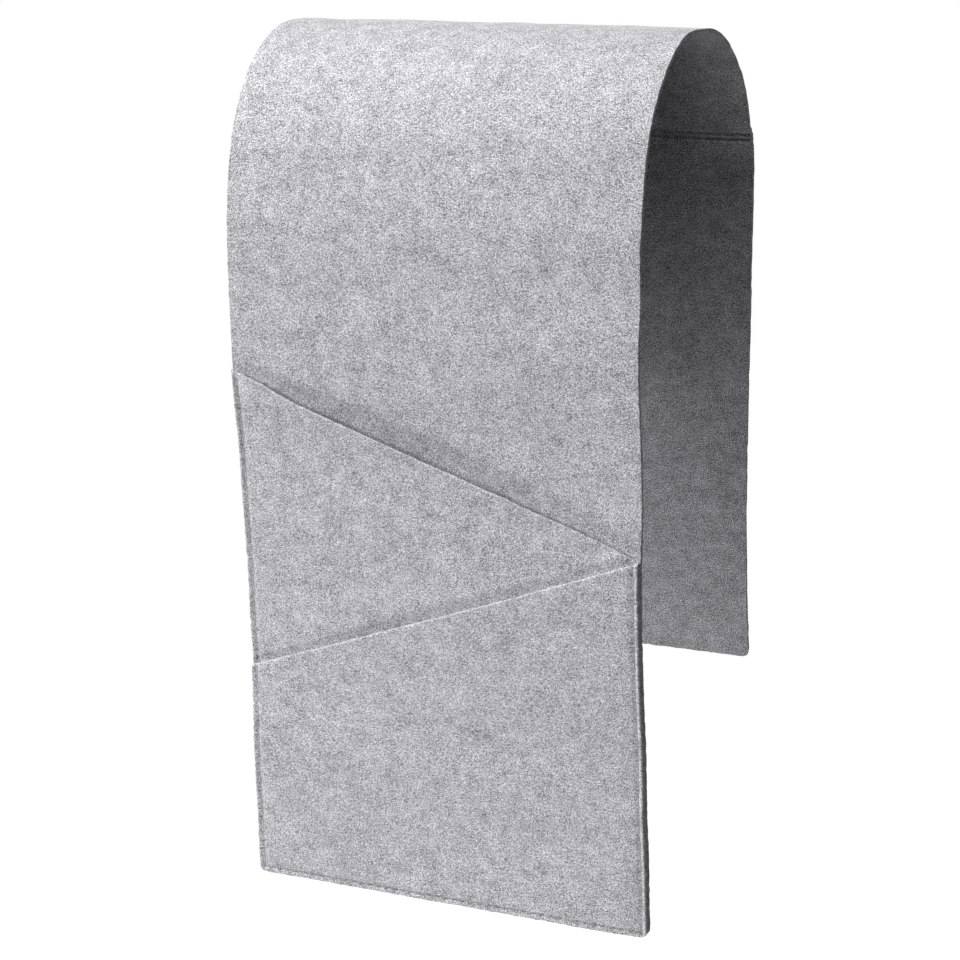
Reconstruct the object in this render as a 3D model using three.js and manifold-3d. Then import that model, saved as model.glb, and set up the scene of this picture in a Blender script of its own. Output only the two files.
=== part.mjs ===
// Armrest organizer: a felt saddle with a long front flap, two slanted pockets on it, and a back flap.
//
// Millimetres, +Z up, +X to the right when looking at the pockets, -Y towards the viewer. The origin is
// under the felt at the middle of the top, where the organizer rests on the armrest.
//
// Every piece is described as it lies flat, and then draped. A place on the flat felt has three numbers:
//   x  across the organizer, from its middle
//   s  along the felt, from the foot of the front flap, up, over the armrest and down the back
//   n  out from the armrest, from the felt's underside
// The function drape() turns such a place into a point in space.

import * as THREE from 'three';
import { mergeVertices } from 'three/addons/utils/BufferGeometryUtils.js';
import Module from 'manifold-3d';

const wasm = await Module();
wasm.setup();

// Felt
const width = 250;
const felt = 2.2;
const clearance = 0.3;
const cornerRadius = 4;

// Drape over the armrest, measured on the felt's underside
const armrestWidth = 173;
const crownFlat = 12;
const frontRise = 104;
const backRise = 90;
const frontDrop = 502;
const frontTuck = 30;
const frontShoulder = 172;
const backDrop = 382;
const backCurl = 12;
const backCurlStart = 232;
const backCurlMiddle = 312;

// The right edge of the front flap hangs this much further out than the left edge, about this height
const sway = 7.6;
const swayHeight = 180;
const swayHalfLength = 150;

// Pockets: each mouth's height at the left and the right edge, how far it bows open, where across the
// width it is widest, and how fast the bow dies away below the mouth
const rearLeft = 310;
const rearRight = 226;
const rearBow = 9.5;
const rearBowPlace = 0.42;
const frontLeft = 131.5;
const frontRight = 225;
const frontBow = 9.5;
const frontBowPlace = 0.52;
const bowFade = 1;
const flatMargin = 8;

// The back flap laps over the end of the main piece, which lies this far below the top
const lapWidth = 9;
const lapDrop = 68;
const lapRowInset = 3;

// The two stretches of felt that a bend line joins lie this far apart
const bendGap = 0.6;

// Stitching. Where a thread joins a longer run of itself it is a little thinner, so that it ends inside it.
// The seam's distance from the cut edge is smaller at the sides than at the foot.
const thread = 0.8;
const threadNeck = 0.7;
const stitchLength = 5.5;
const stitchesPerLeg = 4;
const sideInset = 2.8;
const footInset = 3.6;
const seamEnd = 1.6;

// Longest facets
const acrossStep = 25;
const flapStep = 25;
const archStep = 10;
const cornerSteps = [0.12, 0.5];

const feltMaterial = new THREE.MeshStandardMaterial({ color: 0xb9b8bd, roughness: 0.95, metalness: 0 });
const threadMaterial = new THREE.MeshStandardMaterial({ color: 0xc8c7cb, roughness: 0.7, metalness: 0 });

// The profile of the felt's underside, from the front flap's foot to the back flap's foot
const halfArm = armrestWidth / 2;
const halfCrown = crownFlat / 2;
const archReach = halfArm - halfCrown;
const at = (y, z) => new THREE.Vector2(y, z);

const profile = new THREE.CurvePath();
profile.add(new THREE.QuadraticBezierCurve(
  at(frontTuck - halfArm, -frontDrop),
  at(-halfArm, -frontShoulder),
  at(-halfArm, -frontRise),
));
profile.add(new THREE.EllipseCurve(-halfCrown, -frontRise, archReach, frontRise, Math.PI, Math.PI / 2, true));
profile.add(new THREE.LineCurve(at(-halfCrown, 0), at(halfCrown, 0)));
profile.add(new THREE.EllipseCurve(halfCrown, -backRise, archReach, backRise, Math.PI / 2, 0, true));
profile.add(new THREE.LineCurve(at(halfArm, -backRise), at(halfArm, -backCurlStart)));
profile.add(new THREE.QuadraticBezierCurve(
  at(halfArm, -backCurlStart),
  at(halfArm, -backCurlMiddle),
  at(halfArm + backCurl, -backDrop),
));

const [frontBend, crownStart, crownEnd, backSpring, curlStart, feltEnd] = profile.getCurveLengths();

// How far along the felt the back arch has come down by this drop
function alongBackArch(drop) {
  let low = crownEnd;
  let high = backSpring;
  while (high - low > 1e-6) {
    const middle = (low + high) / 2;
    if (profile.getPoint(middle / feltEnd).y > -drop) low = middle;
    else high = middle;
  }
  return low;
}

const mainEnd = alongBackArch(lapDrop);
const lapStart = mainEnd - lapWidth;
const backBend = mainEnd + clearance + bendGap / 2;

// Heights of the layers' faces over the felt's underside
const mainTop = felt;
const secondUnder = mainTop + clearance;
const secondTop = secondUnder + felt;
const thirdUnder = secondTop + clearance;
const thirdTop = thirdUnder + felt;

function swayAt(x, s) {
  const away = THREE.MathUtils.clamp((s - swayHeight) / swayHalfLength, -1, 1);
  return ((sway * x) / width) * Math.cos((away * Math.PI) / 2) ** 2;
}

function drape(x, s, n) {
  const share = THREE.MathUtils.clamp(s / feltEnd, 0, 1);
  const point = profile.getPoint(share);
  const along = profile.getTangent(share);
  return [x, point.x - along.y * n - swayAt(x, s), point.y + along.x * n];
}

// The mouths run straight from edge to edge, and the panels stand off the felt behind them
const fromLeft = (x) => x / width + 0.5;
const rearMouth = (x) => rearLeft + (rearRight - rearLeft) * fromLeft(x);
const frontMouth = (x) => frontLeft + (frontRight - frontLeft) * fromLeft(x);

function bow(x, s, mouth, amount, place) {
  const across = THREE.MathUtils.clamp((x + width / 2 - flatMargin) / (width - 2 * flatMargin), 0, 1);
  const skewed = across ** (Math.log(0.5) / Math.log(place));
  const up = THREE.MathUtils.clamp(s / mouth(x), 0, 1);
  return amount * Math.sin(Math.PI * skewed) ** 2 * up ** bowFade;
}

const rearLift = (x, s) => bow(x, s, rearMouth, rearBow, rearBowPlace);
const frontLift = (x, s) => rearLift(x, s) + bow(x, s, frontMouth, frontBow, frontBowPlace);

// Half the width of a piece at this distance from its foot, where the corners are round
function halfWidthAt(fromFoot) {
  const short = THREE.MathUtils.clamp(cornerRadius - fromFoot, 0, cornerRadius);
  return width / 2 - cornerRadius + Math.sqrt(cornerRadius ** 2 - short ** 2);
}

// Values from start to end, no further apart than step
function spaced(start, end, step) {
  const count = Math.ceil(Math.abs(end - start) / step - 1e-6);
  return Array.from({ length: count + 1 }, (_, i) => start + ((end - start) * i) / count);
}

function spacedThrough(stops, step) {
  const stretches = stops.slice(1).map((stop, i) => spaced(stops[i], stop, step).slice(1));
  return [stops[0], ...stretches.flat()];
}

// A closed sheet or bar, draped. lines are the rows along the felt, each a distance s as a function of x,
// edge is half the width at a distance s, and under and over are the heights of the two faces.
function draped({ middle = 0, edge, lines, columns = 1, under, over }) {
  const box = new THREE.BoxGeometry(2, 1, 1, columns, lines.length - 1, 1);
  box.deleteAttribute('normal');
  box.deleteAttribute('uv');
  const place = box.getAttribute('position');
  for (let i = 0; i < place.count; i += 1) {
    const line = lines[Math.round((place.getY(i) + 0.5) * (lines.length - 1))];
    const s = line(middle + place.getX(i) * edge(Infinity));
    const x = middle + place.getX(i) * edge(s);
    const height = place.getZ(i) > 0 ? over : under;
    place.setXYZ(i, ...drape(x, s, height(x, s)));
  }
  return mergeVertices(box, 1e-4);
}

const fixed = (value) => () => value;
const straight = (rows) => rows.map(fixed);

function bar(left, right, rows, under, over) {
  return draped({
    middle: (left + right) / 2,
    edge: fixed((right - left) / 2),
    lines: straight(rows),
    under: fixed(under),
    over: fixed(over),
  });
}

// Joining and cutting
function solid(geometry) {
  return new wasm.Manifold(new wasm.Mesh({
    numProp: 3,
    vertProperties: new Float32Array(geometry.getAttribute('position').array),
    triVerts: new Uint32Array(geometry.index.array),
  }));
}

function geometryOf(body) {
  const mesh = body.getMesh();
  const geometry = new THREE.BufferGeometry();
  geometry.setAttribute('position', new THREE.BufferAttribute(new Float32Array(mesh.vertProperties), 3));
  geometry.setIndex(new THREE.BufferAttribute(new Uint32Array(mesh.triVerts), 1));
  geometry.computeVertexNormals();
  return geometry;
}

const joined = (geometries) => geometries.map(solid).reduce((sum, next) => sum.add(next));

// Where the threads pass through the felt: a leg at both ends of a seam and one every few stitches between.
// The two mouths meet the right edge almost at one height, so the seam ends there on the front pocket. On
// the left it goes on up to the rear pocket's mouth.
const legStep = stitchLength * stitchesPerLeg;
const seamX = width / 2 - sideInset;
const leftTop = rearMouth(-seamX) - seamEnd;
const rightTop = frontMouth(seamX) - seamEnd;

// The legs up one side keep clear of the front pocket's edge, where the thread steps down
function sideLegs(x, end) {
  const below = Math.min(end, frontMouth(x) - seamEnd);
  const above = frontMouth(x) + clearance + felt + thread;
  const upper = end > above ? spaced(above, end, legStep) : [];
  return [...spaced(footInset, below, legStep), ...upper].map((s) => ({ x, s }));
}

const pocketLegs = [
  ...sideLegs(-seamX, leftTop),
  ...spaced(-seamX, seamX, legStep).slice(1, -1).map((x) => ({ x, s: footInset })),
  ...sideLegs(seamX, rightTop),
];
const rowLegs = (s) => spaced(-seamX, seamX, legStep).map((x) => ({ x, s }));
const lapRows = { upper: lapStart + lapRowInset, lower: mainEnd - lapRowInset };

// A square column of that size at a leg's place, from one height to another
function column({ x, s }, size, under, over) {
  return bar(x - size / 2, x + size / 2, [s - size / 2, s + size / 2], under, over);
}

function holes(legs) {
  const size = thread + 2 * clearance;
  return joined(legs.map((leg) => column(leg, size, -felt, thirdTop + felt)));
}

const pocketHoles = holes(pocketLegs);
const lapHoles = holes([...rowLegs(lapRows.upper), ...rowLegs(lapRows.lower)]);

// Felt pieces
const columns = Math.ceil(width / acrossStep);
const footRows = [0, ...cornerSteps.map((step) => step * cornerRadius), cornerRadius];
const clearOfBend = bendGap / 2;

function frontFlap() {
  const rows = [...footRows, ...spaced(cornerRadius, frontBend - clearOfBend, flapStep).slice(1)];
  const sheet = draped({
    edge: halfWidthAt, lines: straight(rows), columns, under: fixed(0), over: fixed(mainTop),
  });
  return solid(sheet).subtract(pocketHoles);
}

function saddle() {
  const archRows = spacedThrough([crownEnd, lapStart, mainEnd], archStep);
  const rows = [...spaced(frontBend + clearOfBend, crownStart, archStep), ...archRows];
  return solid(bar(-width / 2, width / 2, rows, 0, mainTop)).subtract(lapHoles);
}

function backFlapLap() {
  const rows = spacedThrough([lapStart, mainEnd, backBend - clearOfBend], archStep);
  return solid(bar(-width / 2, width / 2, rows, secondUnder, secondTop)).subtract(lapHoles);
}

function backFlap() {
  const cornerStart = feltEnd - cornerRadius;
  const toCurl = spacedThrough([backBend + clearOfBend, backSpring], archStep);
  const toCorner = spacedThrough([backSpring, curlStart, cornerStart], 2 * flapStep).slice(1);
  const toFoot = footRows.slice(0, -1).reverse().map((row) => feltEnd - row);
  return solid(draped({
    edge: (s) => halfWidthAt(feltEnd - s),
    lines: straight([...toCurl, ...toCorner, ...toFoot]),
    under: fixed(secondUnder),
    over: fixed(secondTop),
  }));
}

function pocket(mouth, lift, under, over) {
  const shares = spaced(0, 1, flapStep / mouth(0)).slice(1);
  const lines = [
    ...straight(footRows),
    ...shares.map((share) => (x) => cornerRadius + (mouth(x) - cornerRadius) * share),
  ];
  const sheet = draped({
    edge: halfWidthAt,
    lines,
    columns,
    under: (x, s) => under + lift(x, s),
    over: (x, s) => over + lift(x, s),
  });
  return solid(sheet).subtract(pocketHoles);
}

// Threads. Each runs along one face of the seam and sends its legs half way through the felt, where the
// other thread's legs meet them.
const halfThread = thread / 2;
const behindUnder = -clearance - thread;
const frontOf = (top) => top + clearance;

// The run up one side of the pockets. Where it goes on past the front pocket's edge, it steps down there.
function sideRun(x, end, heightAt) {
  const edge = frontMouth(x) + clearance;
  const step = end > edge + felt ? [edge, edge + felt] : [];
  const rows = spacedThrough([footInset - halfThread, ...step, end + halfThread], flapStep);
  return draped({
    middle: x,
    edge: fixed(halfThread),
    lines: straight(rows),
    under: (_, s) => heightAt(s > edge),
    over: (_, s) => heightAt(s > edge) + thread,
  });
}

function crossRun(s, size, under) {
  return bar(-seamX, seamX, [s - size / 2, s + size / 2], under, under + size);
}

const topAt = (leg) => (leg.s > frontMouth(leg.x) ? secondTop : thirdTop);

function needleLeg(leg, top) {
  return column(leg, threadNeck, (top + clearance) / 2, frontOf(top) + halfThread);
}

function bobbinLeg(leg, top) {
  return column(leg, threadNeck, behindUnder + halfThread, (top - clearance) / 2);
}

function pocketNeedleThread() {
  const heightAt = (pastFrontPocket) => frontOf(pastFrontPocket ? secondTop : thirdTop);
  const neckInset = (thread - threadNeck) / 2;
  return joined([
    sideRun(-seamX, leftTop, heightAt),
    sideRun(seamX, rightTop, heightAt),
    crossRun(footInset, threadNeck, frontOf(thirdTop) + neckInset),
    ...pocketLegs.map((leg) => needleLeg(leg, topAt(leg))),
  ]);
}

function pocketBobbinThread() {
  const neckInset = (thread - threadNeck) / 2;
  return joined([
    sideRun(-seamX, leftTop, fixed(behindUnder)),
    sideRun(seamX, rightTop, fixed(behindUnder)),
    crossRun(footInset, threadNeck, behindUnder + neckInset),
    ...pocketLegs.map((leg) => bobbinLeg(leg, topAt(leg))),
  ]);
}

function lapNeedleThread(s) {
  const run = crossRun(s, thread, frontOf(secondTop));
  return joined([run, ...rowLegs(s).map((leg) => needleLeg(leg, secondTop))]);
}

function lapBobbinThread(s) {
  const run = crossRun(s, thread, behindUnder);
  return joined([run, ...rowLegs(s).map((leg) => bobbinLeg(leg, secondTop))]);
}

// The organizer
const organizer = new THREE.Group();

function add(name, body, material) {
  const mesh = new THREE.Mesh(geometryOf(body), material);
  mesh.name = name;
  organizer.add(mesh);
}

add('front_flap', frontFlap(), feltMaterial);
add('saddle', saddle(), feltMaterial);
add('back_flap_lap', backFlapLap(), feltMaterial);
add('back_flap', backFlap(), feltMaterial);
add('rear_pocket', pocket(rearMouth, rearLift, secondUnder, secondTop), feltMaterial);
add('front_pocket', pocket(frontMouth, frontLift, thirdUnder, thirdTop), feltMaterial);
add('pocket_seam_needle_thread', pocketNeedleThread(), threadMaterial);
add('pocket_seam_bobbin_thread', pocketBobbinThread(), threadMaterial);
for (const [row, s] of Object.entries(lapRows)) {
  add(`lap_seam_${row}_needle_thread`, lapNeedleThread(s), threadMaterial);
  add(`lap_seam_${row}_bobbin_thread`, lapBobbinThread(s), threadMaterial);
}

export default organizer;
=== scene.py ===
# %% [markdown]
# # A felt armrest organizer
#
# The object is a strip of light-grey felt that hangs over the arm of a sofa. Two pockets with slanted
# mouths are sewn to its long front flap. A shorter back flap is sewn to its other end.
#
# The imported model is loaded first and is never moved. Every piece made here goes where that model says,
# in metres. The pocket panels and the stitches ride on its bodies.

# %% Load the imported model
import math

import bpy
import numpy as np
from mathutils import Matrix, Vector


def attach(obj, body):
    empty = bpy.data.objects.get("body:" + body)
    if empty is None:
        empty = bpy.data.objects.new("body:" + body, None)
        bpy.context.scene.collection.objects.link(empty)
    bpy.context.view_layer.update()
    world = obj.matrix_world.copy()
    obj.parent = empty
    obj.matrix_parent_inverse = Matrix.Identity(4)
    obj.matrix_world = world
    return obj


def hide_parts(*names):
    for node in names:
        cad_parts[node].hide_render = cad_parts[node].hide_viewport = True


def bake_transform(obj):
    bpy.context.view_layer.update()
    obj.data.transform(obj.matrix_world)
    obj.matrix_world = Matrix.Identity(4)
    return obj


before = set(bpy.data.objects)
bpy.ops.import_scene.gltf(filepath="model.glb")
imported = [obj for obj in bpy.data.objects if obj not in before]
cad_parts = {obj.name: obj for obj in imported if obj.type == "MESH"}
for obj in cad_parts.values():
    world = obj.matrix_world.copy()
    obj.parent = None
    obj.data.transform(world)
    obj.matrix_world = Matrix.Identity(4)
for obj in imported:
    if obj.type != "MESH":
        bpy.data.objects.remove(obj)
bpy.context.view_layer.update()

# %% [markdown]
# ## Camera
#
# The camera stands where the photographer's stood: 1.5 m from the organizer, to the right of it and a
# little above. Its place was found by matching corners and edges of the felt. The focal length is given
# in pixels of a 960-pixel picture, because that is how it can be measured, and is turned into a lens in
# millimetres here.

# %% Camera
PICTURE = 960
FOCAL_PIXELS = 2594.0
SENSOR_MM = 36.0
CAMERA_PLACE = (0.6221, -1.3438, 0.0797)
CAMERA_TURN = math.radians(25.14)
CAMERA_PITCH = math.radians(12.98)

camera = bpy.data.objects.new("camera", bpy.data.cameras.new("camera"))
bpy.context.scene.collection.objects.link(camera)
bpy.context.scene.camera = camera
camera.data.sensor_width = SENSOR_MM
camera.data.lens = SENSOR_MM * FOCAL_PIXELS / PICTURE
camera.location = CAMERA_PLACE
camera.rotation_euler = (math.pi / 2 - CAMERA_PITCH, 0, CAMERA_TURN)
print("lens", round(camera.data.lens, 1), "mm")

# %% [markdown]
# ## Sizes
#
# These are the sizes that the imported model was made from, in metres, but for the felt itself, which is
# drawn a little thicker and with less air between its layers. The felt is described as it lies flat,
# before it is hung. A place on it has three numbers: x across, s along the felt from the foot of the front
# flap, and n out from the main piece's underside.

# %% Sizes
MM = 0.001
WIDTH = 250 * MM
FELT = 2.35 * MM
LAYER_GAP = 0.1 * MM
CORNER_RADIUS = 4 * MM

HALF_ARM = 86.5 * MM
HALF_CROWN = 6 * MM
FRONT_RISE = 104 * MM
BACK_RISE = 90 * MM
FRONT_DROP = 502 * MM
FRONT_TUCK = 30 * MM
FRONT_SHOULDER = 172 * MM
BACK_DROP = 382 * MM
BACK_CURL = 12 * MM
BACK_CURL_START = 232 * MM
BACK_CURL_MIDDLE = 312 * MM

SWAY = 7.6 * MM
SWAY_HEIGHT = 180 * MM
SWAY_HALF_LENGTH = 150 * MM

LAP_WIDTH = 9 * MM
LAP_DROP = 68 * MM
LAP_ROW_INSET = 3 * MM

# %% [markdown]
# ## The drape
#
# The felt's underside follows one line when it is seen from the side: down the front flap, over the
# armrest and down the back. The line is made of short straight steps, and each step's length is added up,
# so that a distance s along the felt gives a place and a direction. Cloth simulation could find such a
# line too, but stiff felt over a known armrest is easier to match with a few curves.

# %% The line that the felt follows
LINE_STEPS = 1500
SAME_PLACE = 1e-9


def bezier(start, middle, end):
    """Quadratic curve: (1-t)^2 start + 2t(1-t) middle + t^2 end, for t from 0 to 1."""
    t = np.linspace(0, 1, LINE_STEPS)[:, None]
    return (1 - t) ** 2 * np.array(start) + 2 * t * (1 - t) * np.array(middle) + t**2 * np.array(end)


def quarter(centre, reach, rise, start, end):
    """Quarter of an ellipse: centre + (reach cos a, rise sin a), for the angle a from start to end."""
    a = np.linspace(start, end, LINE_STEPS)
    return np.stack([centre[0] + reach * np.cos(a), centre[1] + rise * np.sin(a)], axis=1)


arch_reach = HALF_ARM - HALF_CROWN
stretches = [
    bezier((FRONT_TUCK - HALF_ARM, -FRONT_DROP), (-HALF_ARM, -FRONT_SHOULDER), (-HALF_ARM, -FRONT_RISE)),
    quarter((-HALF_CROWN, -FRONT_RISE), arch_reach, FRONT_RISE, math.pi, math.pi / 2),
    quarter((HALF_CROWN, -BACK_RISE), arch_reach, BACK_RISE, math.pi / 2, 0),
    bezier((HALF_ARM, -BACK_CURL_START), (HALF_ARM, -BACK_CURL_MIDDLE), (HALF_ARM + BACK_CURL, -BACK_DROP)),
]
line = np.vstack(stretches)
line = line[np.r_[True, np.hypot(*np.diff(line, axis=0).T) > SAME_PLACE]]
line_s = np.r_[0, np.cumsum(np.hypot(*np.diff(line, axis=0).T))]
line_along = np.gradient(line, line_s, axis=0)
line_along /= np.linalg.norm(line_along, axis=1)[:, None]

FELT_END = line_s[-1]
on_back = line[:, 0] > HALF_CROWN
main_end = np.interp(LAP_DROP, -line[on_back, 1], line_s[on_back])
lap_start = main_end - LAP_WIDTH
print("felt along the drape", round(FELT_END, 4), "m, lap", round(lap_start, 4), "to", round(main_end, 4))

# %% [markdown]
# Felt is never quite flat. A few dozen weak waves in random directions are added up, and the same waves
# move every layer, so that layers lying on each other never cut through each other.

# %% From flat felt to hanging felt
WAVES = 36
SHORTEST_WAVE = 22 * MM
LONGEST_WAVE = 90 * MM
WAVE_HEIGHT = 0.16 * MM

random = np.random.default_rng(7)
wave_turns = random.uniform(0, math.pi, WAVES)
wave_pace = 2 * math.pi / random.uniform(SHORTEST_WAVE, LONGEST_WAVE, WAVES)
wave_start = random.uniform(0, 2 * math.pi, WAVES)


def unevenness(x, s):
    """Sum over the waves of sin(pace (x cos turn + s sin turn) + start), scaled to the wave height."""
    total = np.zeros(np.broadcast(x, s).shape)
    for turn, pace, start in zip(wave_turns, wave_pace, wave_start):
        total += np.sin(pace * (x * math.cos(turn) + s * math.sin(turn)) + start)
    return total * WAVE_HEIGHT / math.sqrt(WAVES / 2)


def sway_at(x, s):
    """How far the front flap hangs out at its right edge: a cosine-squared hump about one height."""
    away = np.clip((s - SWAY_HEIGHT) / SWAY_HALF_LENGTH, -1, 1)
    return SWAY * x / WIDTH * np.cos(away * math.pi / 2) ** 2


# Each stretch: height of its middle along the felt, half its length, and how far it hangs back at the left
# edge and at the right edge
HANGS = [
    (418 * MM, 48 * MM, 2.0 * MM, 2.8 * MM),
    (370 * MM, 32 * MM, 0.6 * MM, 2.1 * MM),
    (331 * MM, 40 * MM, 0.0 * MM, -1.4 * MM),
    (258 * MM, 62 * MM, 1.9 * MM, 2.8 * MM),
    (192 * MM, 60 * MM, 1.1 * MM, 0.5 * MM),
    (125 * MM, 45 * MM, 1.7 * MM, 1.5 * MM),
    (0 * MM, 50 * MM, -1.3 * MM, 0.0 * MM),
]


def hang_at(x, s):
    """How far the front flap hangs back: cosine-squared humps, each straight from edge to edge."""
    total = np.zeros(np.broadcast(x, s).shape)
    for middle, half_length, left, right in HANGS:
        away = np.clip((s - middle) / half_length, -1, 1)
        total += np.cos(away * math.pi / 2) ** 2 * (left + (right - left) * (x / WIDTH + 0.5))
    return total


def drape(x, s, n):
    """A flat place (x, s, n) in space: the line's point at s, moved out along the line's normal by n."""
    x, s, n = np.broadcast_arrays(x, s, n)
    on_line = np.clip(s, 0, FELT_END)
    y, z = (np.interp(on_line, line_s, line[:, i]) for i in (0, 1))
    along_y, along_z = (np.interp(on_line, line_s, line_along[:, i]) for i in (0, 1))
    out = n + unevenness(x, s)
    beyond = s - on_line
    return np.stack([
        x,
        y + along_y * beyond - along_z * out - sway_at(x, s) + hang_at(x, s),
        z + along_z * beyond + along_y * out,
    ], axis=-1)


# %% [markdown]
# ## Pockets and layers
#
# Each pocket is a panel sewn on at the left, the bottom and the right. Its mouth is cut straight and
# slanted, and the panel bows away from the felt behind it, most at the middle of the mouth. Where three
# layers lie on each other, the front pocket's bow comes on top of the rear pocket's. The seam has pulled
# the rear mouth up a little near the left edge and down near the right one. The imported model's pockets
# stand open wider than these, which are empty, to leave room for what is put in.

# %% Mouths and bows
REAR_LEFT = 310 * MM
REAR_RIGHT = 226 * MM
REAR_BOW = 3.8 * MM
REAR_BOW_PLACE = 0.42
FRONT_LEFT = 131.5 * MM
FRONT_RIGHT = 225 * MM
FRONT_BOW = 1.0 * MM
FRONT_BOW_PLACE = 0.52
BOW_FADE = 2
FLAT_MARGIN = 5 * MM
RAISE_START = 80 * MM
RAISE_LENGTH = 30 * MM
RAISE = 2.1 * MM
PULL_START = 90 * MM
PULL_DOWN = 1.8 * MM
LIP = 0.9 * MM
LIP_REACH = 6 * MM


def slanted(left, right):
    """A straight line across the felt: left + (right - left) (x / width + 1/2)."""
    return lambda x: left + (right - left) * (x / WIDTH + 0.5)


rear_cut = slanted(REAR_LEFT, REAR_RIGHT)
front_mouth = slanted(FRONT_LEFT, FRONT_RIGHT)


def smooth(t):
    """0 below 0, 1 above 1, and 3t^2 - 2t^3 between."""
    t = np.clip(t, 0, 1)
    return t * t * (3 - 2 * t)


def rear_mouth(x):
    """The straight cut, plus raise smooth(t) near the left edge, less pull t^2 near the right one."""
    pulled = np.clip((x - PULL_START) / (WIDTH / 2 - PULL_START), 0, 1)
    return rear_cut(x) + RAISE * smooth((-x - RAISE_START) / RAISE_LENGTH) - PULL_DOWN * pulled**2


def lip(x, s, mouth):
    """A mouth's edge curls out: lip (1 - e^(-in from the seams / r)) e^(-down from the mouth / r)."""
    inward = np.clip(WIDTH / 2 - FLAT_MARGIN / 2 - np.abs(x), 0, None)
    down = np.clip(mouth(x) - s, 0, None)
    return LIP * (1 - np.exp(-inward / LIP_REACH)) * np.exp(-down / LIP_REACH)


def bow(x, s, mouth, amount, place):
    """amount sin(pi across^k) (s / mouth)^fade, where k puts the widest point at place."""
    across = np.clip((x + WIDTH / 2 - FLAT_MARGIN) / (WIDTH - 2 * FLAT_MARGIN), 0, 1)
    skewed = across ** (math.log(0.5) / math.log(place))
    up = np.clip(s / mouth(x), 0, 1)
    return amount * np.sin(math.pi * skewed) * up**BOW_FADE


def no_lift(x, s):
    """The main piece and the back piece lie against the armrest."""
    return np.zeros(np.broadcast(x, s).shape)


def rear_lift(x, s):
    """How far the rear pocket stands off."""
    return bow(x, s, rear_mouth, REAR_BOW, REAR_BOW_PLACE) + lip(x, s, rear_mouth)


def front_lift(x, s):
    """How far the front pocket stands off, on top of the rear pocket."""
    return rear_lift(x, s) + bow(x, s, front_mouth, FRONT_BOW, FRONT_BOW_PLACE)


def layer_under(number):
    """Height of a layer's underside, counted from 0 at the armrest."""
    return number * (FELT + LAYER_GAP)


# %% [markdown]
# ## What the seam does to the felt
#
# A lockstitch pulls the layers together. Along the seam they are squeezed to a groove, and between the
# groove and the cut edge they swell to a bead, which catches the light. The groove is deepest at the
# needle holes. Squeezing maps every height n in the stack to n + b (1 - n/T) - t n/T, where T is the
# stack's thickness and t and b are how far its top and its underside are pulled in. The map keeps the
# order of the layers, so they never cross.

# %% Seam lines and squeezing
LEFT_INSET = 3.7 * MM
RIGHT_INSET = 2.7 * MM
FOOT_INSET = 3.6 * MM
SEAM_END = 1.6 * MM
STITCH = 5.5 * MM
TOP_DEPTH = 1.35 * MM
UNDER_DEPTH = 0.55 * MM
HOLE_SHARE = 0.3
LAP_DEPTH = 0.9 * MM
LAP_UNDER_DEPTH = 1.4 * MM
LAP_FLANK = 1.6 * MM
BEAD_FLANK = 2.3 * MM
PANEL_FLANK = 1.3 * MM
STEP_REACH = 2 * MM
FADE_REACH = 4 * MM
seam_left = LEFT_INSET - WIDTH / 2
seam_right = WIDTH / 2 - RIGHT_INSET
seam_across = seam_right - seam_left
cross_stitch = seam_across / round(seam_across / STITCH)
lap_rows = (lap_start + LAP_ROW_INSET, main_end - LAP_ROW_INSET)


def groove(off, outward):
    """Depth share at a distance off the seam: cos^2 on the bead, and 1 / (1 + (off/w)^2) on the panel."""
    bead = np.cos(np.clip(off / BEAD_FLANK, 0, 1) * math.pi / 2) ** 2
    panel = 1 / (1 + (off / PANEL_FLANK) ** 2)
    return np.where(outward, bead, panel)


def holes(along, pitch):
    """1 in a needle hole, and less between two: a cosine of the way along the seam."""
    return 1 - HOLE_SHARE + HOLE_SHARE * np.cos(2 * math.pi * along / pitch)


def pocket_seam(x, s):
    """Depth share of the U-shaped seam: the deepest of its two sides and its bottom run."""
    side = np.maximum(seam_left - x, x - seam_right)
    foot = FOOT_INSET - s
    ends = smooth((rear_mouth(x) - s) / FADE_REACH)
    sides = groove(np.abs(side), side > 0) * holes(s - FOOT_INSET, STITCH) * smooth(1 - foot / FADE_REACH)
    bottom = groove(np.abs(foot), foot > 0) * holes(x - seam_left, cross_stitch)
    return np.maximum(sides, bottom * smooth(1 - side / FADE_REACH)) * ends


def lap_seam(x, s):
    """Depth share of the two straight rows across the lap, and of the dip at the main piece's end."""
    share = np.zeros(np.broadcast(x, s).shape)
    for row in (*lap_rows, main_end):
        share = np.maximum(share, np.cos(np.clip((s - row) / LAP_FLANK, -1, 1) * math.pi / 2) ** 2)
    return share * holes(x - seam_left, cross_stitch)


def stack_top(x, s):
    """Thickness of the stack: three layers below the front mouth and two above it, with a smooth step."""
    in_front = smooth((front_mouth(x) - s) / (2 * STEP_REACH) + 0.5)
    return layer_under(1) + FELT + in_front * (FELT + LAYER_GAP)


def squeezed(x, s, n):
    """The height n after both seams have pulled the layers together."""
    pocket, lap = pocket_seam(x, s), lap_seam(x, s)
    top = stack_top(x, s)
    share = n / top
    down = np.maximum(TOP_DEPTH * pocket, LAP_DEPTH * lap)
    up = np.maximum(UNDER_DEPTH * pocket, LAP_UNDER_DEPTH * lap)
    return n + up * (1 - share) - down * share


# %% [markdown]
# ## Cutting a piece of felt
#
# Every piece of felt is one closed mesh: an upper grid, a lower grid and a narrow band that joins them all
# round. Near the cut edge both grids curve towards each other, so that the edge is rounded and catches
# light. The columns and rows are close together near the edges and seams, and wide apart in the middle.

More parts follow.
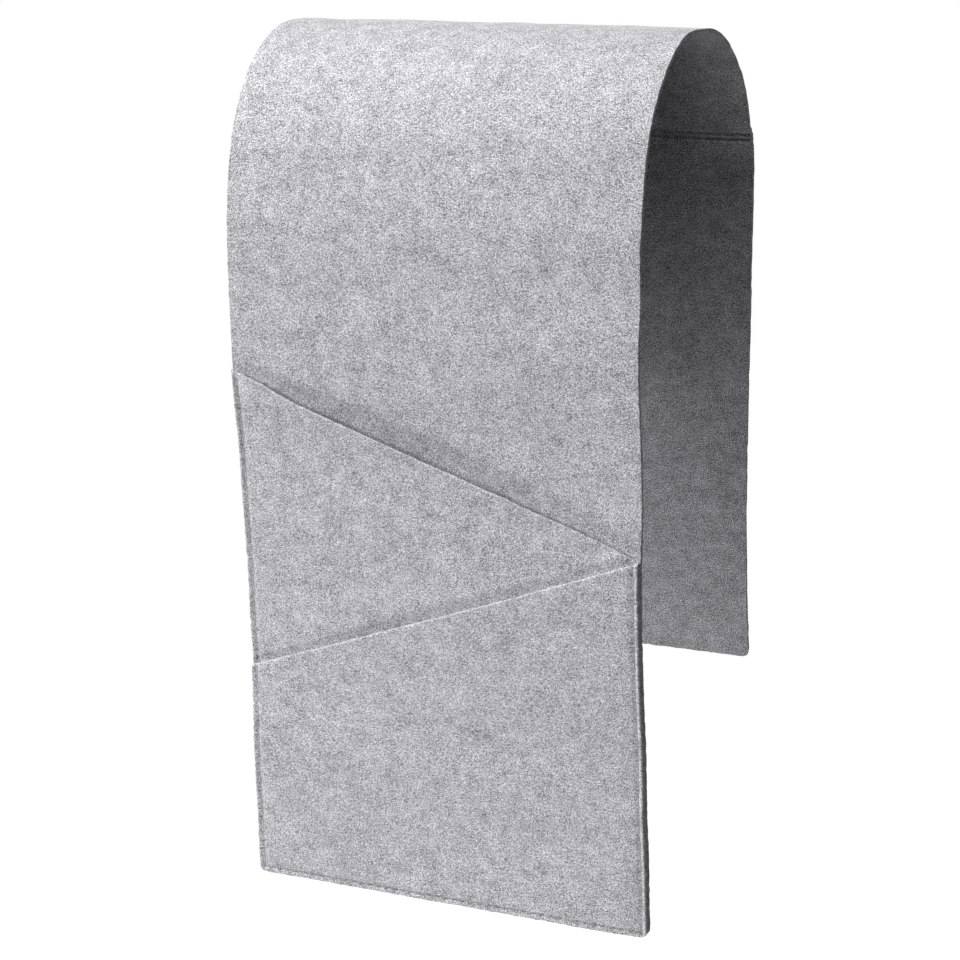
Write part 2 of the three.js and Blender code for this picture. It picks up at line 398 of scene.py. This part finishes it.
# %% Grid lines
EDGE_STEPS = np.array([0, 0.05, 0.15, 0.3, 0.5, 0.8, 1.2, 1.6, 2, 2.4, 2.8, 3.2, 3.6, 4, 4.6, 5.5, 7]) * MM
# Near the lap the rows stay half a millimetre apart or less until past both rows of stitches
LAP_STEPS = np.r_[EDGE_STEPS[:14], np.arange(4.5, 11.5, 0.5) * MM]
FINE_STEP = STITCH / 3
COARSE_STEP = 4.5 * MM
WHOLE_TOLERANCE = 1e-6


def spaced(start, end, step):
    """Evenly spaced values after start, up to and with end, no further apart than step."""
    count = max(1, math.ceil((end - start) / step - WHOLE_TOLERANCE))
    return start + (end - start) * np.arange(1, count + 1) / count


half = WIDTH / 2
middle_columns = spaced(EDGE_STEPS[-1] - half, half - EDGE_STEPS[-1], cross_stitch / 3)[:-1]
COLUMNS = np.r_[EDGE_STEPS - half, middle_columns, (half - EDGE_STEPS)[::-1]]


def rows_to(end, fine_end, fine_step=FINE_STEP, end_steps=EDGE_STEPS):
    """Rows of s for a piece that starts at its foot: close at both ends, fine to fine_end, then coarse.

    end gives s at the far edge for each column. The rows between are shares of the way there.
    """
    last = end(COLUMNS)
    near, far = EDGE_STEPS[-1], np.max(last) - end_steps[-1]
    between = spaced(near, min(fine_end, far), fine_step)
    if fine_end < far:
        between = np.r_[between, spaced(fine_end, far, COARSE_STEP)]
    share = (between - near) / (far - near)
    middle = near + share[:, None] * (last - near - end_steps[-1])[None, :]
    foot = np.repeat(EDGE_STEPS[:, None], len(COLUMNS), axis=1)
    mouth = last[None, :] - end_steps[:-1][::-1][:, None]
    return np.vstack([foot, middle, mouth])


def half_width(from_foot):
    """Half the width of a piece: less near its foot, where the two corners are round."""
    short = np.clip(CORNER_RADIUS - from_foot, 0, CORNER_RADIUS)
    return half - CORNER_RADIUS + np.sqrt(CORNER_RADIUS**2 - short**2)


# %% The mesh of a piece of felt
EDGE_ROUND = 0.4 * MM
POCKET_ROUND = 0.9 * MM
RIGHT_ROUND = 1.2 * MM
LAP_ROUND = 1.9 * MM
ROUND_REACH = 2 * MM
INNER_ROUND = 0.3 * MM
EDGE_WOBBLE = 0.12 * MM
WOBBLE_REACH = 2 * MM
WOBBLE_PACE = 9
REAR_ASIDE = (0.2 * MM, 0.15 * MM)
FRONT_ASIDE = (0.2 * MM, 0.3 * MM)


def rounding(off, radius):
    """How far a face has curved down at a distance off the cut edge: a quarter circle of that radius."""
    short = np.clip(radius - off, 0, radius)
    return radius - np.sqrt(radius**2 - short**2)


def felt_piece(name, s, from_foot, edge_off, lift, layer, top_round, under_round, apart, aside=(0.0, 0.0)):
    """A closed sheet over the grid (COLUMNS, s). edge_off is each point's distance from the cut edge.

    aside says how far to the right its left edge and its right edge lie. apart sets its pattern of flecks
    and its ragged edge apart from those of the other pieces.
    """
    x = COLUMNS[None, :] * half_width(from_foot) / half
    x = x + aside[0] + (aside[1] - aside[0]) * (x / WIDTH + 0.5)
    ragged = np.exp(-edge_off / WOBBLE_REACH) * EDGE_WOBBLE
    x = x + ragged * unevenness(WOBBLE_PACE * s, WOBBLE_PACE * x + apart) / WAVE_HEIGHT
    s = s + ragged * unevenness(WOBBLE_PACE * x + apart, WOBBLE_PACE * s) / WAVE_HEIGHT
    under = layer_under(layer)
    heights = [under + FELT - rounding(edge_off, top_round), under + rounding(edge_off, under_round)]
    faces_n = [squeezed(x, s, height) + lift(x, s) for height in heights]
    rows, columns = s.shape
    points = np.concatenate([drape(x, s, n).reshape(-1, 3) for n in faces_n])
    flat = np.concatenate([
        np.stack([x + apart, s, height - under], axis=-1).reshape(-1, 3) for height in heights
    ])

    index = np.arange(rows * columns).reshape(rows, columns)
    cells = [index[:-1, :-1], index[:-1, 1:], index[1:, 1:], index[1:, :-1]]
    quads = np.stack(cells, axis=-1).reshape(-1, 4)
    lower = quads[:, ::-1] + rows * columns
    ring = np.r_[index[0, :-1], index[:-1, -1], index[-1, :0:-1], index[:0:-1, 0]]
    after = np.roll(ring, -1)
    band = np.stack([after, ring, ring + rows * columns, after + rows * columns], axis=-1)
    return mesh_of(name, points, np.vstack([quads, lower, band]), flat)


def mesh_of(name, points, quads, flat):
    """A mesh object of four-sided faces, with each point's flat place kept as an attribute."""
    mesh = bpy.data.meshes.new(name)
    mesh.vertices.add(len(points))
    mesh.vertices.foreach_set("co", points.astype(np.float32).ravel())
    mesh.loops.add(quads.size)
    mesh.loops.foreach_set("vertex_index", quads.astype(np.int32).ravel())
    mesh.polygons.add(len(quads))
    mesh.polygons.foreach_set("loop_start", np.arange(0, quads.size, 4, dtype=np.int32))
    mesh.polygons.foreach_set("use_smooth", np.ones(len(quads), dtype=bool))
    mesh.update(calc_edges=True)
    mesh.validate()
    place = mesh.attributes.new("flat_place", "FLOAT_VECTOR", "POINT")
    place.data.foreach_set("vector", flat.astype(np.float32).ravel())
    made = bpy.data.objects.new(name, mesh)
    bpy.context.scene.collection.objects.link(made)
    print(name, len(points), "points", 2 * len(quads), "triangles")
    return made


# %% [markdown]
# ## The pieces of felt
#
# Four pieces were cut: the main piece, the back piece and two pocket panels. The distance to the cut edge
# is worked out for each grid point, so that all edges are rounded alike, also at the small round corners.

# %% Distances from the cut edge
def side_off(x_nominal, from_foot):
    """Distance from a strip's sides and from its foot, whose two corners are round."""
    past_x = np.abs(x_nominal) - (half - CORNER_RADIUS)
    past_s = CORNER_RADIUS - from_foot
    corner = CORNER_RADIUS - np.hypot(np.maximum(past_x, 0), np.maximum(past_s, 0))
    straight = np.minimum(half - np.abs(x_nominal), from_foot)
    return np.clip(np.where((past_x > 0) & (past_s > 0), corner, straight), 0, None)


def strip_off(s, far_off):
    """Distance from all four edges of a piece whose foot is at s = 0."""
    x = COLUMNS[None, :] * half_width(s) / half
    return np.minimum(side_off(x, s), far_off)


def slant_off(s, mouth):
    """Distance from a slanted mouth, measured square to it."""
    x = COLUMNS[None, :]
    slope = (mouth(half) - mouth(-half)) / WIDTH
    return (mouth(x) - s) / math.hypot(1, slope)


def near_edge(off):
    """1 up to a reach off the edge, 0 from two reaches on, and smooth between: smooth(2 - off / reach)."""
    return smooth(2 - off / ROUND_REACH)


# %% Main piece and pockets
def at_main_end(x):
    """The main piece ends at the lap, straight across."""
    return np.full(np.shape(x), main_end)


main_s = rows_to(at_main_end, REAR_LEFT + FADE_REACH, end_steps=LAP_STEPS)
main_felt = felt_piece(
    "main_felt", main_s, main_s, strip_off(main_s, main_end - main_s), no_lift, 0,
    EDGE_ROUND, EDGE_ROUND, 0.0,
)
rear_s = rows_to(rear_mouth, REAR_LEFT)
rear_off = strip_off(rear_s, slant_off(rear_s, rear_mouth))
rear_pocket_felt = felt_piece(
    "rear_pocket_felt", rear_s, rear_s, rear_off, rear_lift, 1,
    POCKET_ROUND, INNER_ROUND, 1.0, REAR_ASIDE,
)
front_s = rows_to(front_mouth, FRONT_RIGHT)
front_off = strip_off(front_s, slant_off(front_s, front_mouth))
front_round = POCKET_ROUND + (RIGHT_ROUND - POCKET_ROUND) * near_edge(half - COLUMNS)[None, :]
front_pocket_felt = felt_piece(
    "front_pocket_felt", front_s, front_s, front_off, front_lift, 2,
    front_round, INNER_ROUND, 2.0, FRONT_ASIDE,
)

# %% Back piece
# Its rows run from the lap down to its foot, so they are counted back from the foot.
BACK_FINE = 30 * MM
back_length = FELT_END - lap_start


def at_back_top(x):
    """The back piece's far end, straight across."""
    return np.full(np.shape(x), back_length)


from_foot = rows_to(at_back_top, BACK_FINE, COARSE_STEP, LAP_STEPS)[::-1]
back_s = FELT_END - from_foot
back_round = EDGE_ROUND + (LAP_ROUND - EDGE_ROUND) * near_edge(back_length - from_foot)
back_felt = felt_piece(
    "back_felt", back_s, from_foot, strip_off(from_foot, back_length - from_foot), no_lift, 1,
    back_round, EDGE_ROUND, 3.0,
)

# %% [markdown]
# ## Stitches
#
# A lockstitch shows as short dashes on both faces. Each dash comes up through a needle hole, lies in the
# groove and goes down through the next hole. A dash is a small tube along a path; hundreds of them share
# one mesh, so a tube has only a few dozen faces. The last stitches at a pocket's mouth are sewn twice, to
# lock the seam.

# %% Tubes along paths
THREAD = 0.5 * MM
TUBE_SIDES = 6


def unit(v):
    """v divided by its length."""
    return v / np.linalg.norm(v, axis=-1, keepdims=True)


def tubes(name, paths, side, radius):
    """Closed tubes: centre + radius (cos a side + sin a up), where up is square to the path and to side.

    paths is (tubes, points, 3), side is one direction a tube, and radius is a number for each point.
    """
    count, steps, _ = paths.shape
    forward = unit(np.gradient(paths, axis=1))
    side = np.broadcast_to(side[:, None, :], paths.shape)
    up = unit(np.cross(forward, side))
    angle = 2 * math.pi * np.arange(TUBE_SIDES) / TUBE_SIDES
    round_it = np.cos(angle)[:, None] * side[:, :, None, :] + np.sin(angle)[:, None] * up[:, :, None, :]
    points = paths[:, :, None, :] + np.broadcast_to(radius, (count, steps))[:, :, None, None] * round_it
    travelled = np.cumsum(np.linalg.norm(np.diff(paths, axis=1, prepend=paths[:, :1]), axis=2), axis=1)
    turned = np.broadcast_to(angle, (count, steps, TUBE_SIDES))
    place = np.stack([
        np.cos(turned), np.sin(turned), np.broadcast_to(travelled[:, :, None], turned.shape),
    ], axis=-1)

    index = np.arange(count * steps * TUBE_SIDES).reshape(count, steps, TUBE_SIDES)
    after = np.roll(index, -1, axis=2)
    wall = np.stack([index[:, :-1], after[:, :-1], after[:, 1:], index[:, 1:]], axis=-1).reshape(-1, 4)
    # Two four-sided faces close each six-sided end
    caps = [index[:, 0][:, [3, 2, 1, 0]], index[:, 0][:, [5, 4, 3, 0]]]
    caps += [index[:, -1][:, [0, 1, 2, 3]], index[:, -1][:, [0, 3, 4, 5]]]
    return mesh_of(name, points.reshape(-1, 3), np.vstack([wall, *caps]), place.reshape(-1, 3))


# %% Rows of stitches
DASH_POINTS = np.array([0, 0.05, 0.12, 0.25, 0.5, 0.75, 0.88, 0.95, 1])
DASH_RISE = 0.12 * MM
DASH_DIVE = 1.3 * MM
DIVE_POWER = 10
LOCKED = 3
LOCK_SHIFT = 0.35 * MM


def dashes(start, end, pitch, aside=0.0):
    """Flat paths of the stitches from start to end, hole to hole, as (stitches, points, 2)."""
    start, end = np.array(start), np.array(end)
    length = np.linalg.norm(end - start)
    along = (end - start) / length
    count = int(length / pitch + WHOLE_TOLERANCE)
    way = (np.arange(count)[:, None] + DASH_POINTS[None, :]) * pitch
    across = np.array([-along[1], along[0]])
    return start + way[:, :, None] * along + aside * across


def sewn(name, paths, outside):
    """Stitches on one face of the stack. They lie a little proud of it and dive into both needle holes."""
    flat = np.concatenate(paths)
    x, s = flat[..., 0], flat[..., 1]
    face = squeezed(x, s, stack_top(x, s) if outside else np.zeros(x.shape))
    proud = DASH_RISE - DASH_DIVE * np.abs(2 * DASH_POINTS - 1) ** DIVE_POWER
    sign = 1 if outside else -1
    points = drape(x, s, face + sign * proud)
    out = drape(x, s, face + MM) - drape(x, s, face)
    side = unit(np.cross(points[:, -1] - points[:, 0], out[:, len(DASH_POINTS) // 2]))
    return tubes(name, points, side, THREAD / 2)


left_top = rear_mouth(seam_left) - SEAM_END
right_top = front_mouth(seam_right) - SEAM_END
corners = [(seam_left, FOOT_INSET), (seam_right, FOOT_INSET)]
lock_length = LOCKED * STITCH
left_end = FOOT_INSET + int((left_top - FOOT_INSET) / STITCH) * STITCH
right_end = FOOT_INSET + int((right_top - FOOT_INSET) / STITCH) * STITCH
pocket_paths = [
    dashes(corners[0], (seam_left, left_top), STITCH),
    dashes(corners[0], corners[1], cross_stitch),
    dashes(corners[1], (seam_right, right_top), STITCH),
    dashes((seam_left, left_end - lock_length), (seam_left, left_end), STITCH, LOCK_SHIFT),
    dashes((seam_right, right_end - lock_length), (seam_right, right_end), STITCH, -LOCK_SHIFT),
]
sewn_rows = {"pocket_stitches": ("pocket_seam", pocket_paths)}
for row_name, row_s in zip(("upper", "lower"), lap_rows):
    row_paths = [dashes((seam_left, row_s), (seam_right, row_s), cross_stitch)]
    sewn_rows[f"lap_stitches_{row_name}"] = (f"lap_seam_{row_name}", row_paths)

thread_pieces = []
for row_name, (seam_name, row_paths) in sewn_rows.items():
    for outside, face_name, thread_name in ((True, "outside", "needle"), (False, "inside", "bobbin")):
        made = sewn(f"{row_name}_{face_name}", row_paths, outside)
        thread_pieces.append((made, f"{seam_name}_{thread_name}_thread"))

# %% [markdown]
# ## Finishes
#
# A finish is a tree of shader nodes. Written out node by node, such a tree is long and hard to read, so a
# small class lets a pattern be written as a sum: adding or multiplying two fields adds the node that does
# it.

# %% Shader maths
class Field:
    """A number that changes over the surface. Its operators add Math nodes."""

    def __init__(self, finish, socket):
        self.finish = finish
        self.socket = socket

    def math(self, operation, *values):
        """A new field: what a Math node makes of the values."""
        node = self.finish.node("Math", {"operation": operation}, dict(enumerate(values)))
        return Field(self.finish, node.outputs[0])

    def __add__(self, other):
        return self.math("ADD", self, other)

    def __sub__(self, other):
        return self.math("SUBTRACT", self, other)

    def __rsub__(self, other):
        return self.math("SUBTRACT", other, self)

    def __mul__(self, other):
        return self.math("MULTIPLY", self, other)

    __radd__ = __add__
    __rmul__ = __mul__

    def between(self, low, high):
        """0 at low and below, 1 at high and above, and smooth between."""
        settings = {"interpolation_type": "SMOOTHSTEP"}
        node = self.finish.node("MapRange", settings, {"Value": self, "From Min": low, "From Max": high})
        return Field(self.finish, node.outputs["Result"])


class Finish:
    """The node tree of a material or of the world, and the methods that add nodes to it."""

    def __init__(self, owner):
        owner.use_nodes = True
        self.owner = owner
        self.tree = owner.node_tree
        self.shader = self.tree.nodes.get("Principled BSDF")

    def feed(self, node, values):
        """Sets each named or numbered socket, or links it where the value is a field or a socket."""
        for key, value in values.items():
            if isinstance(value, Field):
                value = value.socket
            if isinstance(value, bpy.types.NodeSocket):
                self.tree.links.new(value, node.inputs[key])
            else:
                node.inputs[key].default_value = value

    def node(self, kind, settings, values):
        """A node of that kind: its settings are set first, and then its sockets are fed."""
        made = self.tree.nodes.new("ShaderNode" + kind)
        for key, value in settings.items():
            setattr(made, key, value)
        self.feed(made, values)
        return made

    def vector(self, operation, values):
        """A Vector Math node's output."""
        return self.node("VectorMath", {"operation": operation}, values).outputs["Vector"]

    def noise(self, vector, scale, detail=0.0, roughness=0.5):
        """Blender's noise, about 0.5 on average."""
        values = {"Vector": vector, "Scale": scale, "Detail": detail, "Roughness": roughness}
        return Field(self, self.node("TexNoise", {}, values).outputs["Fac"])

    def mixed(self, share, under, over):
        """Two colours mixed by a share."""
        values = {"Factor": share, "A": under, "B": over}
        node = self.node("Mix", {"data_type": "RGBA"}, {})
        sockets = {s.name: s for s in node.inputs if s.enabled}
        for key, value in values.items():
            self.feed(node, {list(node.inputs).index(sockets[key]): value})
        return next(s for s in node.outputs if s.enabled)

    def flat_place(self):
        """Where a point was on the flat felt, in millimetres: across, along, and up from its underside."""
        read = self.node("Attribute", {"attribute_name": "flat_place"}, {})
        return self.vector("SCALE", {"Vector": read.outputs["Vector"], "Scale": 1 / MM})


# %% [markdown]
# ## Felt
#
# Pressed felt is a mat of fibres of several greys, lying in all directions. Close up it shows light and
# dark flecks about half a millimetre wide and more than twice as long; further off it is softly clouded.
# The flecks are noise stretched along four directions, with a weaker noise that bends them. The brightest
# of the four makes the light fibres, the darkest of the four makes the dark ones, and both give the surface
# its height. The pattern is laid out on the flat felt, so that it bends with the cloth. On the underside
# the
# flecks are painted with more contrast: painted shade and light that stand in for raking light on its
# relief.

# %% Felt finish
FELT_GREY = (0.470, 0.468, 0.492, 1)
LIGHT_FIBRE = (0.84, 0.84, 0.87, 1)
DARK_FIBRE = (0.120, 0.118, 0.132, 1)
FIBRE_TURNS = (0.3, 1.05, 1.9, 2.7)
FIBRE_STRETCH = (0.8, 2.2, 2.2)
BEND_SCALE = 0.35
BEND_AMOUNT = 1.6
CLOUD_SCALE = 0.05
CLUMP_SCALE = 0.13
MOTTLE_SCALE = 0.35
GRAIN_SCALE = 1.6
CLOUD_SHARE = 0.5
CLUMP_SHARE = 1.1
MOTTLE_SHARE = 0.7
GRAIN_SHARE = 3.6
DARKEST_TONE = 0.15
# Painted shade and light: extra contrast of the underside's flecks, standing in for raking light on its
# relief
UNDERSIDE_PAINTED_RELIEF_SHADE = 0.4
INNER_FROM, INNER_TO = 0.5, 1.5
LIGHT_SHARE = 0.75
LIGHT_FROM, LIGHT_TO = 0.58, 0.76
DARK_SHARE = 0.80
DARK_FROM, DARK_TO = 0.24, 0.42
GRAIN_HEIGHT = 0.6
BUMP_STRENGTH = 0.6
BUMP_HEIGHT = 0.35 * MM
SHEEN = 0.25


def felt_finish(name):
    """Grey, clouded and mottled, with light and dark flecks over it and their height as bump."""
    felt = Finish(bpy.data.materials.new(name))
    place = felt.flat_place()
    bend = felt.node("TexNoise", {}, {"Vector": place, "Scale": BEND_SCALE, "Detail": 1.0}).outputs["Color"]
    centred = felt.vector("SUBTRACT", {0: bend, 1: (0.5, 0.5, 0.5)})
    shift = felt.vector("SCALE", {"Vector": centred, "Scale": 2 * BEND_AMOUNT})
    bent = felt.vector("ADD", {0: place, 1: shift})

    light, dark = None, None
    for turn in FIBRE_TURNS:
        values = {"Vector": bent, "Rotation": (0, 0, turn), "Scale": FIBRE_STRETCH}
        turned = felt.node("Mapping", {"vector_type": "POINT"}, values).outputs["Vector"]
        flecks = felt.noise(turned, 1.0, detail=1.0)
        light = flecks if light is None else light.math("MAXIMUM", light, flecks)
        dark = flecks if dark is None else dark.math("MINIMUM", dark, flecks)

    clouds = felt.noise(place, CLOUD_SCALE, detail=2.0) - 0.5
    clumps = felt.noise(bent, CLUMP_SCALE, detail=2.0, roughness=0.6) - 0.5
    mottle = felt.noise(place, MOTTLE_SCALE, detail=3.0, roughness=0.7) - 0.5
    grain = felt.noise(place, GRAIN_SCALE) - 0.5
    up_through = Field(felt, felt.node("SeparateXYZ", {}, {"Vector": place}).outputs["Z"])
    # Painted shade and light: near the underside the flecks get more contrast, in place of raking light on
    # the relief
    painted_relief_contrast = 1 + UNDERSIDE_PAINTED_RELIEF_SHADE * (1 - up_through.between(INNER_FROM, INNER_TO))
    uneven = CLOUD_SHARE * clouds + CLUMP_SHARE * clumps + MOTTLE_SHARE * mottle + GRAIN_SHARE * grain
    uneven = painted_relief_contrast * uneven
    tone = uneven.math("MAXIMUM", DARKEST_TONE, 1 + uneven)
    ground = felt.vector("SCALE", {"Vector": FELT_GREY[:3], "Scale": tone})
    with_light = felt.mixed(LIGHT_SHARE * light.between(LIGHT_FROM, LIGHT_TO), ground, LIGHT_FIBRE)
    colour = felt.mixed(DARK_SHARE * (1 - dark.between(DARK_FROM, DARK_TO)), with_light, DARK_FIBRE)
    height = light + dark + GRAIN_HEIGHT * grain
    bump = felt.node("Bump", {}, {"Height": height, "Strength": BUMP_STRENGTH, "Distance": BUMP_HEIGHT})
    felt.feed(felt.shader, {
        "Base Color": colour,
        "Normal": bump.outputs["Normal"],
        "Roughness": 0.95,
        "Specular IOR Level": 0.15,
        "Sheen Weight": SHEEN,
        "Sheen Roughness": 0.6,
    })
    return felt.owner


felt_material = felt_finish("felt")

# %% [markdown]
# ## Thread
#
# Sewing thread is twisted from plies. Around the thread a ply shows as a wave that winds on with the way
# along it, so the wave's angle is the angle around the thread plus a turn for every millimetre or so.
# The grooves between the plies get a darker grey, as painted shade.

# %% Thread finish
THREAD_GREY = (0.50, 0.50, 0.53, 1)
# The darker grey is painted shade for the grooves between the plies
PAINTED_PLY_GROOVE_SHADE = (0.27, 0.27, 0.29, 1)
PLIES = 3
TWIST_LENGTH = 1.6 * MM
PLY_STRENGTH = 0.6
PLY_HEIGHT = 0.08 * MM


def thread_finish(name):
    """Grey thread whose plies are a wave: cos(plies (angle around + 2 pi along / twist length))."""
    thread = Finish(bpy.data.materials.new(name))
    read = thread.node("Attribute", {"attribute_name": "flat_place"}, {})
    parts = thread.node("SeparateXYZ", {}, {"Vector": read.outputs["Vector"]}).outputs
    across, up, along = (Field(thread, part) for part in parts)
    around = across.math("ARCTAN2", up, across)
    wave = across.math("COSINE", PLIES * (around + along * (2 * math.pi / TWIST_LENGTH)))
    ply = 0.5 + 0.5 * wave
    # Painted shade: where the wave is low, in the grooves between the plies, the thread gets the darker
    # grey
    colour = thread.mixed(ply, PAINTED_PLY_GROOVE_SHADE, THREAD_GREY)
    bump = thread.node("Bump", {}, {"Height": ply, "Strength": PLY_STRENGTH, "Distance": PLY_HEIGHT})
    thread.feed(thread.shader, {
        "Base Color": colour,
        "Normal": bump.outputs["Normal"],
        "Roughness": 0.7,
        "Sheen Weight": SHEEN,
    })
    return thread.owner


thread_material = thread_finish("thread")

# %% [markdown]
# ## Joining the pieces to the model
#
# The stitches and the pocket panels ride on bodies of the imported model, and the model's parts that the
# felt and the stitches stand for are hidden. The main felt and the back felt each cross a bend line; they
# stay where they are and ride on no body.

# %% Riding and hiding
FRONT_BEND = (-75 * MM, -135 * MM)
BACK_BEND = (-70.5 * MM, -100 * MM)

felt_pieces = [main_felt, rear_pocket_felt, front_pocket_felt, back_felt]
for piece in felt_pieces:
    piece.data.materials.append(felt_material)
for piece, node_name in thread_pieces:
    piece.data.materials.append(thread_material)
    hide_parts(node_name)
    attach(piece, "front_flap" if piece.name.startswith("pocket") else "saddle")

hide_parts("front_flap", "saddle")
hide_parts("rear_pocket")
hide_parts("front_pocket")
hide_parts("back_flap_lap", "back_flap")
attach(rear_pocket_felt, "front_flap")
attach(front_pocket_felt, "front_flap")

for piece, flap, bend in ((main_felt, "front_flap", FRONT_BEND), (back_felt, "back_flap", BACK_BEND)):
    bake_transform(piece)

# %% [markdown]
# ## Floor and light
#
# The organizer hangs above a floor. Seen by the camera, the floor and the world are as bright as white
# paper, but they give the felt only little light. Near the organizer the floor glows a little less, so that
# the organizer's shadow shows on it.

# %% Floor
FLOOR_DROP = 1.55
FLOOR_SIZE = 12.0
FLOOR_TONE = (0.15, 0.15, 0.15, 1)
NEAR_GLOW = 0.75
GLOW_FROM, GLOW_TO = 1.9, 2.3

floor_mesh = bpy.data.meshes.new("floor")
reach = FLOOR_SIZE / 2
floor_mesh.from_pydata(
    [(-reach, -reach, -FLOOR_DROP), (reach, -reach, -FLOOR_DROP),
     (reach, reach, -FLOOR_DROP), (-reach, reach, -FLOOR_DROP)], [], [(0, 1, 2, 3)],
)
floor = bpy.data.objects.new("floor", floor_mesh)
bpy.context.scene.collection.objects.link(floor)


def seen_directly(finish):
    """1 for rays from the camera, also by way of a mirror or of glass, and 0 for all other rays."""
    seen = finish.node("LightPath", {}, {}).outputs
    kinds = ("Is Camera Ray", "Is Glossy Ray", "Is Transmission Ray")
    from_camera, mirrored, through = (Field(finish, seen[kind]) for kind in kinds)
    return from_camera.math("MAXIMUM", from_camera, mirrored.math("MAXIMUM", mirrored, through))


floor_finish = Finish(bpy.data.materials.new("floor"))
floor_place = floor_finish.node("TexCoord", {}, {}).outputs["Object"]
measured = floor_finish.node("VectorMath", {"operation": "LENGTH"}, {0: floor_place})
away = Field(floor_finish, measured.outputs["Value"])
glow = seen_directly(floor_finish) * (NEAR_GLOW + (1 - NEAR_GLOW) * away.between(GLOW_FROM, GLOW_TO))
glow_colour = floor_finish.vector("SCALE", {"Vector": (1, 1, 1), "Scale": glow})
floor_finish.feed(floor_finish.shader, {
    "Base Color": FLOOR_TONE,
    "Roughness": 0.9,
    "Specular IOR Level": 0.0,
    "Emission Color": glow_colour,
    "Emission Strength": 1.0,
})
floor.data.materials.append(floor_finish.owner)

# %% World
WORLD_LEVEL = 0.02
WORLD_TONE = (0.98, 0.99, 1.0, 1)

sky = Finish(bpy.data.worlds.new("studio"))
bpy.context.scene.world = sky.owner
dim = sky.tree.nodes["Background"]
sky.feed(dim, {"Color": WORLD_TONE, "Strength": WORLD_LEVEL})
white = sky.node("Background", {}, {"Color": (1, 1, 1, 1), "Strength": 1.0})
either = sky.node("MixShader", {}, {0: seen_directly(sky), 1: dim.outputs[0], 2: white.outputs[0]})
sky.feed(sky.tree.nodes["World Output"], {"Surface": either.outputs[0]})

# %% [markdown]
# Five lamps light the felt. The upper lamp lights the top and the front. The left one rakes across the
# felt and draws its seams. The low one stands below and in front of the flaps, where the front flap keeps
# its light off the upper part of the back flap. The back one lights the side that the photographer's
# camera didn't see, and the right one, which is weak, lights the cut edges on that side.

# %% Lamps
VIEW_MIDDLE = Vector((0, 0, -0.22))


def lamp(name, place, size, level):
    """A lamp that faces the organizer; size is its width and its height. Its power grows with the distance
    squared, so that level is the share of full light that it gives to a surface facing it."""
    light = bpy.data.lights.new(name, "AREA")
    light.shape = "RECTANGLE"
    light.size, light.size_y = size
    away = VIEW_MIDDLE - Vector(place)
    light.energy = level * math.pi**2 * away.length_squared
    made = bpy.data.objects.new(name, light)
    made.location = place
    made.rotation_mode = "QUATERNION"
    made.rotation_quaternion = away.to_track_quat("-Z", "Y")
    bpy.context.scene.collection.objects.link(made)


lamp("upper_lamp", (-1.0, -0.9, 1.7), (1.0, 1.0), 1.26)
lamp("left_lamp", (-1.4, -2.1, 0.1), (0.6, 1.0), 0.42)
lamp("low_lamp", (0.05, -0.47, -1.45), (0.4, 0.18), 0.51)
lamp("back_lamp", (-0.3, 2.4, 0.3), (1.0, 1.0), 0.75)
lamp("right_lamp", (2.2, 0.35, 0.1), (1.0, 1.0), 0.09)

bpy.context.scene.view_settings.view_transform = "Standard"
